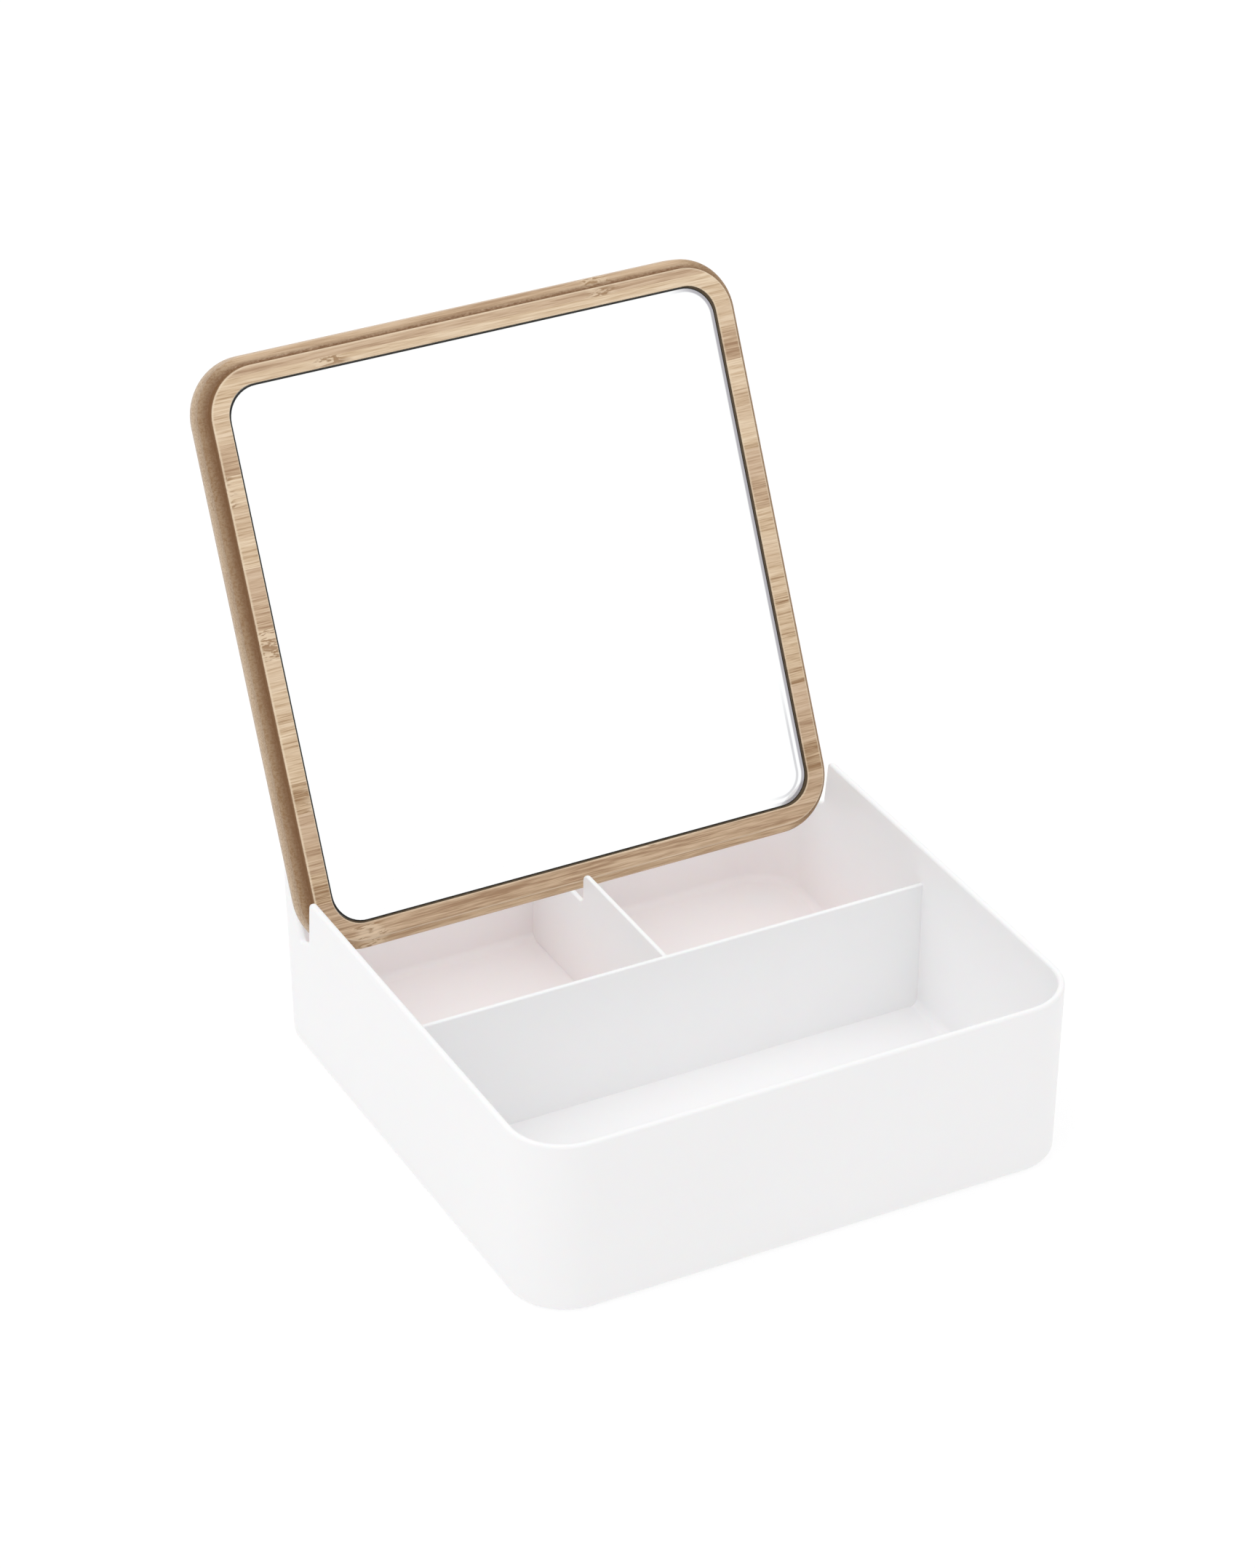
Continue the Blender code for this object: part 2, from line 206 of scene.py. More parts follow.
class StageSettings(PropertyGroup):
    """The floor, the key light, the surround and the camera."""

    floor_tint: colour("Floor", "Colour of the floor", (0.45, 0.45, 0.45))
    floor_glow: strength("Floor glow", "Light that the floor gives off", 0.58)
    floor_reach: length("Floor reach", "Half the width of the floor", 4.0)
    horizon: strength("Horizon", "Strength of the white surround low down", 0.33)
    zenith: strength("Zenith", "Strength of the white surround overhead", 1.28)
    backdrop: strength("Backdrop", "Strength of the surround as it is seen and mirrored", 1.06)
    key: power("Key light", "Power of the large light above on the left", 3.6)
    key_size: length("Key light size", "Width of the key light", 1.4)
    azimuth: angle("Camera azimuth", "How far the camera stands to the left of the front", 27.55)
    elevation: angle("Camera elevation", "How far the camera looks down", 30.99)
    distance: length("Camera distance", "Distance from the camera to its aim", 1.6554)
    lens: FloatProperty(name="Lens", description="Focal length in millimetres", default=115.4, min=1)
    aim: FloatVectorProperty(
        name="Aim",
        description="What the camera looks at, from the middle of the tray's underside",
        default=(-0.00129, 0.02599, 0.10379),
        subtype="TRANSLATION",
        unit="LENGTH",
    )


# Mesh helpers


def block(size):
    """A block of that size in the middle of a new mesh."""
    shape = bmesh.new()
    bmesh.ops.create_cube(shape, size=1)
    bmesh.ops.scale(shape, vec=size, verts=shape.verts)
    return shape


def edges_along(shape, axis):
    """The edges that run along X, Y or Z."""
    way = "XYZ".index(axis)
    found = []
    for edge in shape.edges:
        run = edge.verts[1].co - edge.verts[0].co
        if abs(run[way]) > 0.999 * run.length:
            found.append(edge)
    return found


def face_towards(shape, way):
    """The face that lies furthest along a direction."""
    return max(shape.faces, key=lambda face: face.calc_center_median().dot(Vector(way)))


def round_edges(shape, edges, radius, segments):
    bmesh.ops.bevel(
        shape,
        geom=list(edges),
        offset=radius,
        offset_type="OFFSET",
        segments=segments,
        profile=0.5,
        affect="EDGES",
        clamp_overlap=False,
        material=-1,
    )


def inset(shape, face, width):
    """Insets one face, which becomes the inner one."""
    bmesh.ops.inset_region(shape, faces=[face], thickness=width, use_even_offset=True)


def push(shape, face, way):
    """Extrudes one face along a vector and returns the face at the end."""
    made = bmesh.ops.extrude_face_region(shape, geom=[face, *face.edges])["geom"]
    points = [item for item in made if isinstance(item, bmesh.types.BMVert)]
    bmesh.ops.translate(shape, vec=way, verts=points)
    return next(item for item in made if isinstance(item, bmesh.types.BMFace))


def side_view_solid(outline, low, high, rounding=()):
    """A solid from x = low to x = high, from an outline in Y and Z.

    Rounding pairs the number of a corner of the outline with its radius.
    """
    shape = bmesh.new()
    corners = [shape.verts.new((low, y, z)) for y, z in outline]
    face = shape.faces.new(corners)
    for number, radius in rounding:
        bmesh.ops.bevel(
            shape,
            geom=[corners[number]],
            offset=radius,
            offset_type="OFFSET",
            segments=6,
            profile=0.5,
            affect="VERTICES",
            clamp_overlap=False,
            material=-1,
        )
    face = shape.faces[:][0]
    push(shape, face, (high - low, 0, 0))
    bmesh.ops.recalc_face_normals(shape, faces=shape.faces)
    return shape


def loose_object(name, shape):
    mesh = bpy.data.meshes.new(name)
    shape.to_mesh(mesh)
    shape.free()
    made = bpy.data.objects.new(name, mesh)
    bpy.context.scene.collection.objects.link(made)
    return made


def boolean(shape, operation, other):
    """The exact Boolean of two meshes as a new one. Both are used up."""
    first = loose_object("first", shape)
    second = loose_object("second", other)
    step = first.modifiers.new("step", "BOOLEAN")
    step.operation = operation
    step.solver = "EXACT"
    step.object = second
    result = bmesh.new()
    result.from_object(first, bpy.context.evaluated_depsgraph_get())
    for used in (first, second):
        mesh = used.data
        bpy.data.objects.remove(used)
        bpy.data.meshes.remove(mesh)
    bmesh.ops.remove_doubles(result, verts=result.verts, dist=1e-6)
    return result


def shade_free(made):
    """Keeps a piece from shading others, as when light is bounced in all round."""
    made.visible_diffuse = False
    made.visible_shadow = False


def piece(name, shape, finishes, body):
    """A finished piece of the object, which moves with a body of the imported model."""
    made = loose_object(name, shape)
    for finish in finishes:
        made.data.materials.append(finish.material)
    made.data.shade_smooth()
    made.data.set_sharp_from_angle(angle=math.radians(32))
    weighting = made.modifiers.new("even shading", "WEIGHTED_NORMAL")
    weighting.keep_sharp = True
    weighting.weight = 100
    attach(made, body)
    return made


# Shader helpers


class Value:
    """The output of a shader node. Python's arithmetic on it adds Math nodes."""

    def __init__(self, finish, socket):
        self.finish = finish
        self.socket = socket

    def other(self, name):
        """Another output of the same node."""
        return Value(self.finish, self.socket.node.outputs[name])

    def __add__(self, other):
        return self.finish.math("ADD", self, other)

    __radd__ = __add__

    def __sub__(self, other):
        return self.finish.math("SUBTRACT", self, other)

    def __rsub__(self, other):
        return self.finish.math("SUBTRACT", other, self)

    def __mul__(self, other):
        return self.finish.math("MULTIPLY", self, other)

    __rmul__ = __mul__

    def __truediv__(self, other):
        return self.finish.math("DIVIDE", self, other)

    def __rtruediv__(self, other):
        return self.finish.math("DIVIDE", other, self)

    def __pow__(self, other):
        return self.finish.math("POWER", self, other)

    def __abs__(self):
        return self.finish.math("ABSOLUTE", self)

    def __floor__(self):
        return self.finish.math("FLOOR", self)

    def at_least(self, other):
        return self.finish.math("MAXIMUM", self, other)

    def at_most(self, other):
        return self.finish.math("MINIMUM", self, other)

    def fade(self, start, end):
        """1 up to start, falling smoothly to 0 at end. Start may be the larger."""
        settings = {"interpolation_type": "SMOOTHSTEP"}
        if start < end:
            inputs = {0: self, 1: start, 2: end, 3: 1.0, 4: 0.0}
        else:
            inputs = {0: self, 1: end, 2: start, 3: 0.0, 4: 1.0}
        return self.finish.node("MapRange", settings, inputs)


class Finish:
    """A material made of nodes. What is the same all over is set on the shader itself."""

    def __init__(self, name, constants):
        self.material = bpy.data.materials.new(name)
        self.material.use_nodes = True
        self.tree = self.material.node_tree
        self.shader = self.tree.nodes["Principled BSDF"]
        for socket, value in constants.items():
            self.feed(self.shader.inputs[socket], value)

    def feed(self, socket, value):
        if isinstance(value, Value):
            self.tree.links.new(value.socket, socket)
        elif socket.type == "RGBA":
            socket.default_value = (*value[:3], 1.0)
        else:
            socket.default_value = value

    def node(self, kind, settings, inputs, output=0):
        """Adds a node: its settings first, then the values or links of its inputs."""
        made = self.tree.nodes.new("ShaderNode" + kind)
        for name, value in settings.items():
            if name == "stops":
                for stop, (place, tint) in zip(made.color_ramp.elements, value):
                    stop.position = place
                    stop.color = (*tint[:3], 1.0)
                for place, tint in value[2:]:
                    made.color_ramp.elements.new(place).color = (*tint[:3], 1.0)
            else:
                setattr(made, name, value)
        for name, value in inputs.items():
            self.feed(made.inputs[name], value)
        return Value(self, made.outputs[output])

    def math(self, operation, *values):
        return self.node("Math", {"operation": operation}, dict(enumerate(values)))

    def vector(self, x, y, z):
        return self.node("CombineXYZ", {}, {"X": x, "Y": y, "Z": z})

    def noise(self, vector, scale=1.0, detail=2.0, roughness=0.5, distortion=0.0):
        inputs = {"Vector": vector, "Scale": scale, "Detail": detail}
        inputs.update({"Roughness": roughness, "Distortion": distortion})
        return self.node("TexNoise", {}, inputs)

    def mix(self, amount, first, second):
        """The first colour, going over to the second as the amount goes from 0 to 1."""
        return self.node("Mix", {"data_type": "RGBA"}, {0: amount, 6: first, 7: second}, output=2)

    def relief(self, height, strength, depth):
        """Bumps of that depth in metres."""
        bump = self.node("Bump", {}, {"Strength": strength, "Distance": depth, "Height": height})
        self.feed(self.shader.inputs["Normal"], bump)

    def own_place(self, rotation=(0, 0, 0), shift=(0, 0, 0)):
        """The piece's own coordinates, turned and then shifted."""
        coordinates = self.node("TexCoord", {}, {}, output="Object")
        return self.node("Mapping", {}, {"Vector": coordinates, "Rotation": rotation, "Location": shift})


def apart(vector):
    """The three parts of a vector."""
    x = vector.finish.node("SeparateXYZ", {}, {"Vector": vector})
    return x, x.other("Y"), x.other("Z")


def inset_from_outline(x, other, half_x, half_other, corner):
    """How far a point lies inside a rounded rectangle."""
    across_x = abs(x) - (half_x - corner)
    across_other = abs(other) - (half_other - corner)
    root = x.finish.math("SQRT", across_x.at_least(0) ** 2 + across_other.at_least(0) ** 2)
    return corner - root - across_x.at_least(across_other).at_most(0)


# The tray


def lid_back_y(z):
    """Where the lid's back is at a height over the tray's underside, from the tray's middle."""
    world_z = z + TRAY_PLACE.z
    return (BOARD_HIGH.y + world_z * math.sin(LEAN)) / math.cos(LEAN) - TRAY_PLACE.y


def lid_lowest_z():
    """Height of the lid's lowest line over the tray's underside."""
    return min(point.co.z for point in frame["nodes"]["lid_board"].data.vertices) - TRAY_PLACE.z


def tray_shell(tray):
    """The outer wall and the floor, with a sharp rim."""
    shape = block(TRAY_SIZE)
    bmesh.ops.translate(shape, vec=(0, 0, TRAY_SIZE.z / 2), verts=shape.verts)
    round_edges(shape, edges_along(shape, "Z"), tray.corner, 16)
    taper = (1 - 2 * tray.draft / TRAY_SIZE.x, 1 - 2 * tray.draft / TRAY_SIZE.y, 1)
    base = face_towards(shape, (0, 0, -1))
    bmesh.ops.scale(shape, vec=taper, verts=base.verts)
    opening = face_towards(shape, (0, 0, 1))
    inset(shape, opening, tray.wall)
    floor = push(shape, opening, (0, 0, tray.floor - TRAY_SIZE.z))
    bmesh.ops.scale(shape, vec=taper, verts=floor.verts)
    round_edges(shape, floor.edges, tray.floor_fillet, 5)
    round_edges(shape, face_towards(shape, (0, 0, -1)).edges, tray.base_rounding, 5)
    return shape


def slot_cutter(tray):
    """The slot through both side walls: its foot square to the lid, its rear along the lid's back."""
    slope = math.tan(LEAN)
    gap = tray.lean_gap / math.cos(LEAN)
    run = (lid_back_y(tray.slot_foot_z) + gap - tray.slot_foot_y) / (1 + slope * slope)
    rim = TRAY_SIZE.z
    mouth_rear_y = lid_back_y(rim) + gap
    past = tray.corner / 2
    outline = [
        (tray.slot_foot_y, tray.slot_foot_z),
        (tray.slot_foot_y + run, tray.slot_foot_z - run * slope),
        (mouth_rear_y, rim),
        (mouth_rear_y + past, rim),
        (mouth_rear_y + past, rim + past),
        (tray.slot_mouth_y - past, rim + past),
        (tray.slot_mouth_y - past, rim),
        (tray.slot_mouth_y, rim),
    ]
    rounding = [(0, tray.slot_corner), (1, tray.slot_corner), (2, tray.slot_tip), (7, tray.slot_tip)]
    return side_view_solid(outline, -TRAY_SIZE.x, TRAY_SIZE.x, rounding)


def inner_half(tray, z):
    """Half the thickness of an inner wall at a height."""
    share_up = (z - tray.floor) / (tray.cross_height - tray.floor)
    return (tray.inner_root + (tray.inner_top - tray.inner_root) * share_up) / 2


def cross_wall(tray):
    """The wall between the front and the rear compartments, with its ends inside the side walls."""
    foot = tray.floor / 2
    top = tray.cross_height
    outline = [
        (-inner_half(tray, foot), foot),
        (inner_half(tray, foot), foot),
        (inner_half(tray, top), top),
        (-inner_half(tray, top), top),
    ]
    reach = TRAY_SIZE.x / 2 - tray.wall * 0.75
    shape = side_view_solid(outline, -reach, reach)
    upper = [edge for edge in edges_along(shape, "X") if edge.verts[0].co.z > top / 2]
    round_edges(shape, upper, tray.inner_rounding, 4)
    return shape


def centre_wall(tray):
    """The wall between the rear compartments, notched where the lid stands."""
    foot = tray.floor / 2
    top = tray.centre_height
    rest = lid_lowest_z() - tray.rest_gap
    gap = tray.lean_gap / math.cos(LEAN)
    rear = TRAY_SIZE.y / 2 - tray.wall * 0.75
    outline = [
        (0, foot),
        (rear, foot),
        (rear, top),
        (lid_back_y(top) + gap, top),
        (lid_back_y(rest) + gap, rest),
        (tray.notch_front_y, rest),
        (tray.notch_front_y, top),
        (0, top),
    ]
    rounding = [(3, tray.notch_tip / 2), (4, tray.slot_corner), (5, tray.notch_tip), (6, tray.notch_tip)]
    half = tray.inner_top / 2
    shape = side_view_solid(outline, -half, half, rounding)
    for point in shape.verts:
        point.co.x *= inner_half(tray, point.co.z) / half
    rim = []
    for edge in shape.edges:
        across = [abs(face.normal.x) > 0.9 for face in edge.link_faces]
        if sum(across) == 1 and min(point.co.z for point in edge.verts) > foot:
            rim.append(edge)
    round_edges(shape, rim, tray.inner_rounding, 4)
    return shape


def rim_edges(shape, tray):
    """The sharp edges along the rim and round the slots."""
    found = []
    for edge in shape.edges:
        middle = (edge.verts[0].co + edge.verts[1].co) / 2
        near_wall = abs(middle.x) > TRAY_SIZE.x / 2 - 2 * tray.wall
        above_foot = middle.z > tray.slot_foot_z - 0.1 * TRAY_SIZE.z
        if middle.z < TRAY_SIZE.z - tray.wall and not (near_wall and above_foot):
            continue
        if edge.is_manifold and edge.calc_face_angle_signed() > math.radians(50):
            found.append(edge)
    return found


def foot_edges(shape, tray):
    """The sharp hollow edges where the inner walls meet the floor."""
    found = []
    for edge in shape.edges:
        level = all(abs(point.co.z - tray.floor) < 0.02 * tray.floor for point in edge.verts)
        if level and edge.is_manifold and edge.calc_face_angle_signed() < -math.radians(60):
            found.append(edge)
    return found


def underside_cutters(tray):
    """The shallow relief under the middle and the seats of the foot pads."""
    relief = block((tray.relief_width, 2 * TRAY_SIZE.y, 2 * tray.relief_depth))
    cutters = [relief]
    for name in FOOT_PADS:
        low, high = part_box(name)
        middle = (low + high) / 2 - TRAY_PLACE
        seat = bmesh.new()
        bmesh.ops.create_cone(
            seat,
            cap_ends=True,
            segments=48,
            radius1=tray.pad_radius,
            radius2=tray.pad_radius,
            depth=2 * tray.pad_depth,
        )
        bmesh.ops.translate(seat, vec=(middle.x, middle.y, 0), verts=seat.verts)
        cutters.append(seat)
    return cutters


FOOT_PADS = ("foot_pad_front_left", "foot_pad_front_right", "foot_pad_rear_left", "foot_pad_rear_right")
TAPES = ("mirror_tape_1", "mirror_tape_2", "mirror_tape_3", "mirror_tape_4")


def satin_plastic(tray):
    """White moulded plastic with a satin sheen and the faint unevenness of a thin wall, and painted warm
    bounce light from the lid behind the cross wall.
    """
    finish = Finish(
        "satin_plastic",
        {"Specular IOR Level": 0.5, "IOR": 1.49, "Subsurface Weight": 0.1, "Subsurface Scale": 0.004},
    )
    place = finish.own_place()
    flow = finish.noise(place, scale=14.0, detail=3.0)
    grain = finish.noise(place, scale=2600.0, detail=1.0)
    x, y, z = apart(finish.own_place(shift=-TRAY_PLACE))
    inset_by = inset_from_outline(x, y, TRAY_SIZE.x / 2, TRAY_SIZE.y / 2, tray.corner)
    inside = inset_by.fade(tray.wall, 0.6 * tray.wall)
    warm_bounce = inside * y.fade(2.0 * tray.inner_root, 0.5 * tray.inner_root)
    tint = Vector(tray.tint)
    plastic = finish.mix(flow, tint * 0.985, tint * 1.015)
    # Painted warm bounce light from the lid: the plastic behind the cross wall, low down, takes a warmer
    # tone.
    plastic = finish.mix(warm_bounce * z.fade(2 * tray.floor, tray.slot_foot_z), plastic, tray.warm_bounce_tint)
    finish.feed(finish.shader.inputs["Base Color"], plastic)
    finish.feed(finish.shader.inputs["Roughness"], flow * 0.1 + (tray.gloss - 0.05))
    finish.relief(flow * 8.0 + grain, 0.25, 0.00003)
    return finish


class VANITY_OT_tray(Operator):
    """Builds the tray moulding: shell, slots, inner walls, fillets and underside"""

    bl_idname = "vanity_tray.tray"
    bl_label = "Tray moulding"

    def execute(self, context):
        tray = context.scene.vanity_tray.tray
        shape = boolean(tray_shell(tray), "DIFFERENCE", slot_cutter(tray))
        bmesh.ops.dissolve_limit(shape, angle_limit=math.radians(0.2), verts=shape.verts, edges=shape.edges)
        round_edges(shape, rim_edges(shape, tray), tray.rim_rounding, 4)
        inner = boolean(cross_wall(tray), "UNION", centre_wall(tray))
        shape = boolean(shape, "UNION", inner)
        bmesh.ops.remove_doubles(shape, verts=shape.verts, dist=tray.inner_rounding / 20)
        bmesh.ops.dissolve_limit(shape, angle_limit=math.radians(0.2), verts=shape.verts, edges=shape.edges)
        round_edges(shape, foot_edges(shape, tray), tray.inner_fillet, 4)
        for cutter in underside_cutters(tray):
            shape = boolean(shape, "DIFFERENCE", cutter)
        bmesh.ops.translate(shape, vec=TRAY_PLACE, verts=shape.verts)
        made = piece("tray_moulding", shape, [satin_plastic(tray)], "tray_body")
        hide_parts("tray")
        return {"FINISHED"}


# The lid


def lid_board(lid):
    """The routed board, built standing straight up with its mirror side towards -Y."""
    size = BOARD_HIGH - BOARD_LOW
    shape = block((size.x, lid.flange, size.z))
    middle = (BOARD_LOW + BOARD_HIGH) / 2
    middle.y = BOARD_HIGH.y - lid.flange / 2
    bmesh.ops.translate(shape, vec=middle, verts=shape.verts)
    round_edges(shape, edges_along(shape, "Y"), lid.corner, 16)
    flange_edges = list(face_towards(shape, (0, 1, 0)).edges)
    front = face_towards(shape, (0, -1, 0))
    flange_edges += list(front.edges)
    inset(shape, front, lid.plug_inset)
    cove_edges = list(front.edges)
    plug = push(shape, front, (0, lid.flange - size.y, 0))
    plug_edges = list(plug.edges)
    inset(shape, plug, lid.pocket_inset - lid.plug_inset)
    pocket_edges = list(plug.edges)
    floor_y = upright_box(TAPES[0])[1].y + (GLASS_LOW.z - BOARD_LOW.z - lid.pocket_inset)
    push(shape, plug, (0, floor_y - BOARD_LOW.y, 0))
    round_edges(shape, pocket_edges, lid.pocket_rounding, 2)
    round_edges(shape, plug_edges, lid.plug_rounding, 3)
    round_edges(shape, cove_edges, lid.cove, 4)
    round_edges(shape, flange_edges, lid.flange_rounding, 5)
    bmesh.ops.transform(shape, matrix=UPRIGHT.inverted(), verts=shape.verts)
    return shape


# The strips are counted from the board's middle, and sines scatter their tones. Each
# strip has one knuckle, where its cane had a joint.
STRIP_SHIFT = 0.115
TONE_STEP, TONE_START, TONE_SPREAD = 0.68, 1.97, 34.3
KNUCKLE_STEP, KNUCKLE_START, KNUCKLE_SPREAD = 0.3945, 0.1415, 0.26


def bamboo(lid):
    """Edge-glued bamboo strips that run across the lid, with a clear coat, a cutter's burn mixed with painted
    shade in the cove, painted highlights on the arrises, painted shade in the pocket and painted sheen and
    shade on the rear edge.
    """
    finish = Finish("bamboo", {"Specular IOR Level": 0.4})
    half = (BOARD_HIGH - BOARD_LOW) / 2
    shift = -Vector((0, BOARD_HIGH.y - lid.flange, (BOARD_LOW.z + BOARD_HIGH.z) / 2))
    x, y, z = apart(finish.own_place((LEAN, 0, 0), shift))

    sway = finish.noise(finish.vector(x * 9, y * 9, z * 30), detail=1.0)
    level = z + (sway - 0.5) * 0.0006
    strip = math.floor(level / lid.strip - STRIP_SHIFT)
    strip_tone = finish.math("FRACT", finish.math("SINE", strip * TONE_STEP + TONE_START) * TONE_SPREAD)
    strip_blush = finish.math("FRACT", strip_tone * 7.3 + strip * 0.37)
    shifted = x + strip_tone * 3

    streaks = finish.noise(finish.vector(shifted * 9, y * 300, level * 300), detail=2.0)
    fibres = finish.noise(finish.vector(shifted * 30, y * 900, level * 900), detail=3.0, roughness=0.65)
    fine = finish.noise(finish.vector(shifted * 110, y * 2600, level * 2600), detail=2.0)
    tone = 0.5 + (strip_tone - 0.5) * 0.42 + (streaks - 0.5) * 0.9 + (fibres - 0.5) * 1.8 + (fine - 0.5) * 1.2
    stops = [(0.0, lid.dark), (1.0, lid.light), (0.5, lid.middle)]
    wood = finish.node("ValToRGB", {"stops": stops}, {"Fac": tone})
    wood = finish.mix(strip_blush.fade(1.0, 0.4) * 0.4, wood, lid.blush)

    knuckle_at = (finish.math("FRACT", strip * KNUCKLE_STEP + KNUCKLE_START) - 0.5) * KNUCKLE_SPREAD
    wave = finish.noise(finish.vector(x * 60, y * 350, z * 350), detail=2.0)
    off_knuckle = abs(x - knuckle_at + (wave - 0.5) * 0.012)
    swirl = finish.noise(finish.vector(x * 170, y * 600, z * 600), detail=3.0, distortion=1.6)
    knuckle = off_knuckle.fade(0.0030, 0.0070)
    wood = finish.mix(knuckle * swirl.fade(0.53, 0.46) * 0.8, wood, lid.dark)
    wood = finish.mix(knuckle * swirl.fade(0.50, 0.58) * 0.5, wood, lid.light)

    inset_by = inset_from_outline(x, z, half.x, half.z, lid.corner)

    plug_front = -(BOARD_HIGH.y - BOARD_LOW.y - lid.flange)
    pocket_y = plug_front + 0.0006

    def near(inset_at, depth_from, depth_to, reach):
        """1 on the band round the board at that inset and between two depths, falling to 0 at the reach."""
        off_y = (y - depth_to).at_least(0) + (depth_from - y).at_least(0)
        off = finish.math("SQRT", (inset_by - inset_at) ** 2 + off_y ** 2)
        return off.fade(0.0, reach)

    # The flange outside the plug is end grain at the sides, and yellower all round.
    stepped = y.fade(plug_front + 0.0012, plug_front + 0.0004)
    stepped = stepped * inset_by.fade(lid.plug_inset, lid.plug_inset + 0.001)
    stepped = stepped * y.fade(lid.flange - 0.0012, lid.flange)
    side = abs(x).fade(half.x - 0.3 * lid.corner, half.x - lid.corner)
    wood = finish.mix(stepped * (0.15 + side * 0.35), wood, lid.end_tint)
    speckle = finish.noise(finish.vector(x * 900, y * 1300, z * 1300), detail=3.0, roughness=0.7)
    wood = finish.mix(stepped * side * speckle.fade(0.60, 0.48) * 0.42, wood, lid.dark)
    wood = finish.mix(stepped * side * speckle.fade(0.44, 0.54) * 0.40, wood, lid.light)
    # Darker end grain beside the plug at the sides: the cutter's burn together with painted shade that the
    # plug casts on the flange.
    side_burn_and_shade = near(lid.plug_inset, 0.6 * plug_front, 0.0, lid.side_burn_and_shade_reach) * stepped * side
    wood = finish.mix(side_burn_and_shade * lid.side_burn_and_shade_strength, wood, lid.cove_burn_and_shade_tint)
    # Painted sheen and shade: a greyish, darker rear edge on the flange.
    back = y.fade(lid.flange - 0.0014, lid.flange - 0.0040) * inset_by.fade(0.0004, 0.0020)
    wood = finish.mix(back * 0.55, wood, lid.back_sheen_and_shade_tint)

    # The cove is darker round the top and the sides, not along the bottom: the cutter's burn together with
    # painted shade in the step.
    upper = z.fade(0.7 * lid.corner - half.z, 0.3 * lid.corner - half.z)
    cove_burn_and_shade = near(lid.plug_inset, 0.6 * plug_front, 0.0, lid.cove_burn_and_shade_reach)
    cove_burn_and_shade = cove_burn_and_shade * (0.95 + (speckle - 0.5) * 1.8) * upper
    wood = finish.mix(cove_burn_and_shade, wood, lid.cove_burn_and_shade_tint)
    # Painted highlights on the plug's and the pocket's arris, with the paler wood of a sanded edge.
    wood = finish.mix(near(lid.plug_inset, plug_front, plug_front, 0.0008) * 0.8, wood, lid.edge_tint)
    wood = finish.mix(near(lid.pocket_inset, plug_front, plug_front, 0.0006) * 0.6, wood, lid.edge_tint)
    # Painted shade: the wood inside the pocket is darkened.
    pocket = inset_by.fade(lid.pocket_inset, lid.pocket_inset - 0.0002) * y.fade(pocket_y, pocket_y - 0.0002)
    pocket = pocket * y.fade(0.5 * lid.flange, 0.6 * lid.flange)
    wood = finish.mix(pocket, wood, lid.pocket_shade_tint)

    finish.feed(finish.shader.inputs["Base Color"], wood)
    finish.feed(finish.shader.inputs["Roughness"], lid.gloss + (fibres - 0.5) * 0.2)
    finish.relief(fibres + streaks, 0.35, 0.00012)
    return finish


class VANITY_OT_lid(Operator):
    """Builds the routed bamboo lid board with its plug, cove and mirror pocket"""

    bl_idname = "vanity_tray.lid"
    bl_label = "Lid board"

    def execute(self, context):
        lid = context.scene.vanity_tray.lid
        made = piece("bamboo_lid", lid_board(lid), [bamboo(lid)], "lid_body")
        shade_free(made)
        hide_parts("lid_board")
        return {"FINISHED"}


# The mirror


def pane_edge(name, tint, roughness):
    """The dull surface that grinding leaves round a pane of glass, also used for the arris painted black as
    shade.
    """
    finish = Finish(name, {})
    marks = finish.noise(finish.own_place(), scale=900.0, detail=3.0)
    ground = finish.mix(marks, Vector(tint) * 0.85, Vector(tint) * 1.1)
    finish.feed(finish.shader.inputs["Base Color"], ground)
    finish.feed(finish.shader.inputs["Roughness"], marks * 0.3 + roughness)
    return finish


def silvering(mirror):
    """Silvered glass, with a painted reflection of its ground edge: a pale band along the right side and arcs
    near the lower right corner.
    """
    finish = Finish("silvering", {"Metallic": 1.0})
    middle = (GLASS_LOW + GLASS_HIGH) / 2
    half = (GLASS_HIGH - GLASS_LOW) / 2
    x, _, z = apart(finish.own_place((LEAN, 0, 0), -middle))
    inset_by = inset_from_outline(x, z, half.x, half.z, mirror.corner)
    # Painted reflection: a pale band along the right side and arcs near the lower right corner, for the
    # ground edge seen through the glass.
    right = x.fade(half.x - 0.5 * mirror.corner, half.x - 1.5 * mirror.corner)
    low = right * z.fade(2.0 * mirror.corner - half.z, 4.0 * mirror.corner - half.z)
    gleam = inset_by.fade(mirror.gleam * 0.8, mirror.gleam * 1.1) * right
    arc_reflection = abs(inset_by - 1.9 * mirror.gleam).fade(0.0002, 0.0007) * low
    cloud = finish.noise(finish.own_place(), scale=22.0, detail=2.0)
    tint = Vector(mirror.silver_tint)
    silver = finish.mix(cloud, tint * 0.995, tint)
    silver = finish.mix((gleam + arc_reflection * 0.6).at_most(1.0), silver, mirror.gleam_tint)
    finish.feed(finish.shader.inputs["Base Color"], silver)
    finish.feed(finish.shader.inputs["Roughness"], cloud * 0.02 + 0.005)
    return finish


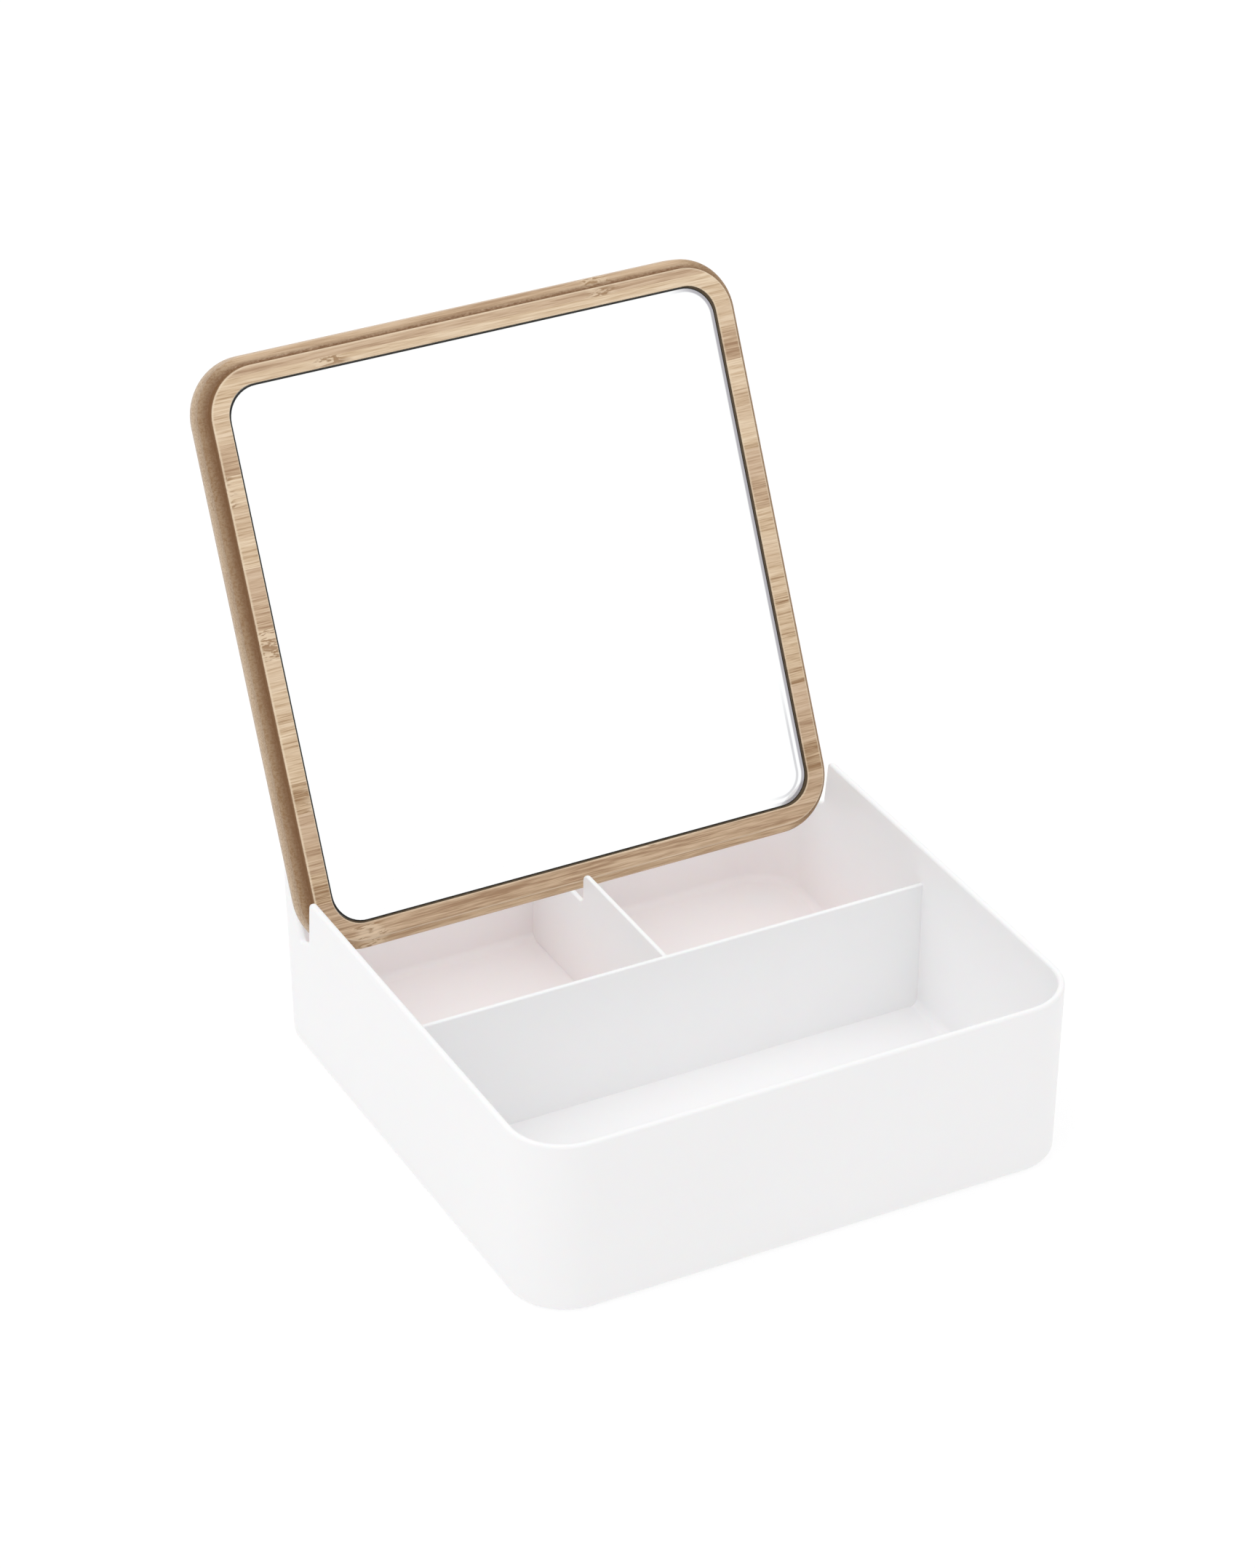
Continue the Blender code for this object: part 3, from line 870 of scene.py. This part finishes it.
class VANITY_OT_mirror(Operator):
    """Builds the mirror: a silvered pane with an arris painted black as shade and a ground edge"""

    bl_idname = "vanity_tray.mirror"
    bl_label = "Mirror"

    def execute(self, context):
        mirror = context.scene.vanity_tray.mirror
        size = GLASS_HIGH - GLASS_LOW
        glass = block(size)
        bmesh.ops.translate(glass, vec=(GLASS_LOW + GLASS_HIGH) / 2, verts=glass.verts)
        round_edges(glass, edges_along(glass, "Y"), mirror.corner, 12)
        round_edges(glass, face_towards(glass, (0, -1, 0)).edges, mirror.glass_edge, 2)
        glass.normal_update()
        for face in glass.faces:
            if abs(face.normal.y) < 0.1:
                face.material_index = 1
            elif abs(face.normal.y) < 0.95:
                face.material_index = 2
        bmesh.ops.transform(glass, matrix=UPRIGHT.inverted(), verts=glass.verts)
        edge = pane_edge("ground_glass_edge", mirror.edge_tint, 0.35)
        # The arris is painted black as shade of the dark gap round the pane.
        arris = pane_edge("glass_arris_shade", mirror.arris_shade_tint, 0.3)
        made = piece("mirror_pane", glass, [silvering(mirror), edge, arris], "lid_body")
        shade_free(made)
        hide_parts("mirror_glass")
        return {"FINISHED"}


# The small pieces


def soft_pad():
    """Translucent pad rubber with a faint mottle."""
    finish = Finish("pad_rubber", {"Subsurface Weight": 0.3, "Subsurface Scale": 0.002})
    mottle = finish.noise(finish.own_place(), scale=800.0, detail=3.0)
    rubber = finish.mix(mottle, (0.70, 0.71, 0.72), (0.84, 0.85, 0.86))
    finish.feed(finish.shader.inputs["Base Color"], rubber)
    finish.feed(finish.shader.inputs["Roughness"], mottle * 0.2 + 0.45)
    finish.relief(mottle, 0.3, 0.00004)
    return finish


def foam_tape():
    """Foam tape with open cells."""
    finish = Finish("foam_tape", {})
    cells = finish.node("TexVoronoi", {}, {"Vector": finish.own_place(), "Scale": 1800.0})
    foam = finish.mix(cells, (0.62, 0.62, 0.59), (0.80, 0.80, 0.77))
    finish.feed(finish.shader.inputs["Base Color"], foam)
    finish.feed(finish.shader.inputs["Roughness"], cells * 0.2 + 0.7)
    finish.relief(cells, 0.5, 0.0001)
    return finish


def repaint(names, finish):
    """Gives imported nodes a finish."""
    for name in names:
        mesh = frame["nodes"][name].data
        mesh.materials.clear()
        mesh.materials.append(finish.material)


class VANITY_OT_foot_pads(Operator):
    """Finishes the four foot pads"""

    bl_idname = "vanity_tray.foot_pads"
    bl_label = "Foot pads"

    def execute(self, context):
        repaint(FOOT_PADS, soft_pad())
        return {"FINISHED"}


class VANITY_OT_tapes(Operator):
    """Finishes the four strips of tape behind the mirror"""

    bl_idname = "vanity_tray.tapes"
    bl_label = "Mirror tapes"

    def execute(self, context):
        repaint(TAPES, foam_tape())
        return {"FINISHED"}


# The stage


KEY_PLACE = (-1.2, -0.3, 1.4)


def area_light(name, place, aim, size, watts):
    """A square light that points at the aim."""
    light = bpy.data.lights.new(name, "AREA")
    light.shape = "SQUARE"
    light.size = size
    light.energy = watts
    made = bpy.data.objects.new(name, light)
    bpy.context.scene.collection.objects.link(made)
    made.location = place
    made.rotation_euler = (aim - Vector(place)).to_track_quat("-Z", "Y").to_euler()


class VANITY_OT_stage(Operator):
    """Makes the floor, the key light, the white surround and the camera"""

    bl_idname = "vanity_tray.stage"
    bl_label = "Stage"

    def execute(self, context):
        stage = context.scene.vanity_tray.stage
        aim = Vector(stage.aim) + TRAY_PLACE

        ground = bmesh.new()
        bmesh.ops.create_grid(ground, x_segments=1, y_segments=1, size=stage.floor_reach)
        floor = loose_object("floor", ground)
        glow = {"Emission Color": (1.0, 1.0, 1.0), "Emission Strength": stage.floor_glow}
        paper = Finish("white_paper", {"Roughness": 0.9, "Specular IOR Level": 0.1, **glow})
        mottle = paper.noise(paper.own_place(), scale=3.0)
        tint = Vector(stage.floor_tint)
        paper.feed(paper.shader.inputs["Base Color"], paper.mix(mottle, tint * 0.998, tint))
        floor.data.materials.append(paper.material)

        # The surround lights the tray more from above than from low down. Where it is seen
        # or mirrored it has one even strength.
        surround = bpy.data.worlds.new("surround")
        surround.use_nodes = True
        tree = surround.node_tree
        direction = tree.nodes.new("ShaderNodeTexCoord")
        parts = tree.nodes.new("ShaderNodeSeparateXYZ")
        rise = tree.nodes.new("ShaderNodeMapRange")
        rise.inputs["To Min"].default_value = stage.horizon
        rise.inputs["To Max"].default_value = stage.zenith
        tree.links.new(direction.outputs["Generated"], parts.inputs["Vector"])
        tree.links.new(parts.outputs["Z"], rise.inputs["Value"])
        path = tree.nodes.new("ShaderNodeLightPath")
        seen = tree.nodes.new("ShaderNodeMath")
        seen.operation = "MAXIMUM"
        tree.links.new(path.outputs["Is Camera Ray"], seen.inputs[0])
        tree.links.new(path.outputs["Is Glossy Ray"], seen.inputs[1])
        blend = tree.nodes.new("ShaderNodeMix")
        blend.inputs["B"].default_value = stage.backdrop
        tree.links.new(seen.outputs["Value"], blend.inputs["Factor"])
        tree.links.new(rise.outputs["Result"], blend.inputs["A"])
        tree.links.new(blend.outputs["Result"], tree.nodes["Background"].inputs["Strength"])
        tree.nodes["Background"].inputs["Color"].default_value = (1, 1, 1, 1)
        context.scene.world = surround
        context.scene.view_settings.view_transform = "Standard"

        area_light("key_light", KEY_PLACE, aim, stage.key_size, stage.key)

        lens = bpy.data.cameras.new("camera")
        lens.lens = stage.lens
        lens.sensor_width = 36
        camera = bpy.data.objects.new("camera", lens)
        context.scene.collection.objects.link(camera)
        level = math.cos(stage.elevation)
        back = Vector(
            (-math.sin(stage.azimuth) * level, -math.cos(stage.azimuth) * level, math.sin(stage.elevation))
        )
        camera.location = aim + back * stage.distance
        camera.rotation_euler = (-back).to_track_quat("-Z", "Y").to_euler()
        context.scene.camera = camera
        return {"FINISHED"}


# The panel


class VanityTraySettings(PropertyGroup):
    """All the settings of the make-up tray."""

    tray: PointerProperty(type=TraySettings, name="Tray", description="Sizes and colour of the tray")
    lid: PointerProperty(type=LidSettings, name="Lid", description="Sizes and colours of the lid board")
    mirror: PointerProperty(type=MirrorSettings, name="Mirror", description="Sizes and colours of the mirror")
    stage: PointerProperty(type=StageSettings, name="Stage", description="Floor, lights and camera")


class VIEW3D_PT_vanity_tray(Panel):
    """Lists the settings and the pieces"""

    bl_label = "Make-up tray"
    bl_idname = "VIEW3D_PT_vanity_tray"
    bl_space_type = "VIEW_3D"
    bl_region_type = "UI"
    bl_category = "Make-up tray"

    def draw(self, context):
        everything = context.scene.vanity_tray
        groups = (
            (everything.tray, (VANITY_OT_tray, VANITY_OT_foot_pads)),
            (everything.lid, (VANITY_OT_lid,)),
            (everything.mirror, (VANITY_OT_mirror, VANITY_OT_tapes)),
            (everything.stage, (VANITY_OT_stage,)),
        )
        for settings, operators in groups:
            box = self.layout.box()
            for name in type(settings).__annotations__:
                box.prop(settings, name)
            for operator in operators:
                box.operator(operator.bl_idname)


CLASSES = (
    TraySettings,
    LidSettings,
    MirrorSettings,
    StageSettings,
    VanityTraySettings,
    VANITY_OT_tray,
    VANITY_OT_foot_pads,
    VANITY_OT_lid,
    VANITY_OT_mirror,
    VANITY_OT_tapes,
    VANITY_OT_stage,
    VIEW3D_PT_vanity_tray,
)


def register():
    for item in CLASSES:
        bpy.utils.register_class(item)
    bpy.types.Scene.vanity_tray = PointerProperty(type=VanityTraySettings)


def unregister():
    del bpy.types.Scene.vanity_tray
    for item in reversed(CLASSES):
        bpy.utils.unregister_class(item)


def main():
    register()
    bpy.ops.vanity_tray.tray()
    bpy.ops.vanity_tray.foot_pads()
    bpy.ops.vanity_tray.lid()
    bpy.ops.vanity_tray.mirror()
    bpy.ops.vanity_tray.tapes()
    bpy.ops.vanity_tray.stage()


if __name__ == "__main__":
    main()
